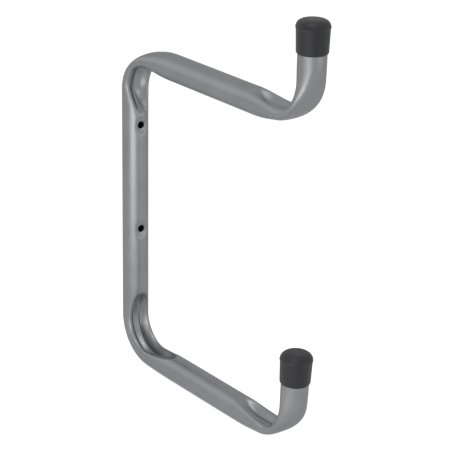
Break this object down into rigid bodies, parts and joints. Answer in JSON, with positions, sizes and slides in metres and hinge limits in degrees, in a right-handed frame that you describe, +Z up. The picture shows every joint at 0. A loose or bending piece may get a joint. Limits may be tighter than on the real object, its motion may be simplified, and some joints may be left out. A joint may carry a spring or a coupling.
{
  "type": "utility hook",
  "caption": "Wall-mounted utility hook bent from one round steel tube, with upper and lower arms that turn up at their ends under rubber caps.",
  "frame": {"origin": "on the wall plane that the tube's back rests on, midway between the two screw holes", "axes": "+Z up along the wall, -Y away from the wall along the arms, +Y into the wall, +X across the tube"},
  "size_m": [0.0266, 0.2578, 0.3514],
  "materials": {
    "painted_steel": "satin",
    "cap_rubber": "matte"
  },
  "bodies": {
    "root": {"bent_tube": "painted_steel", "upper_cap": "cap_rubber", "lower_cap": "cap_rubber"}
  },
  "joints": []
}
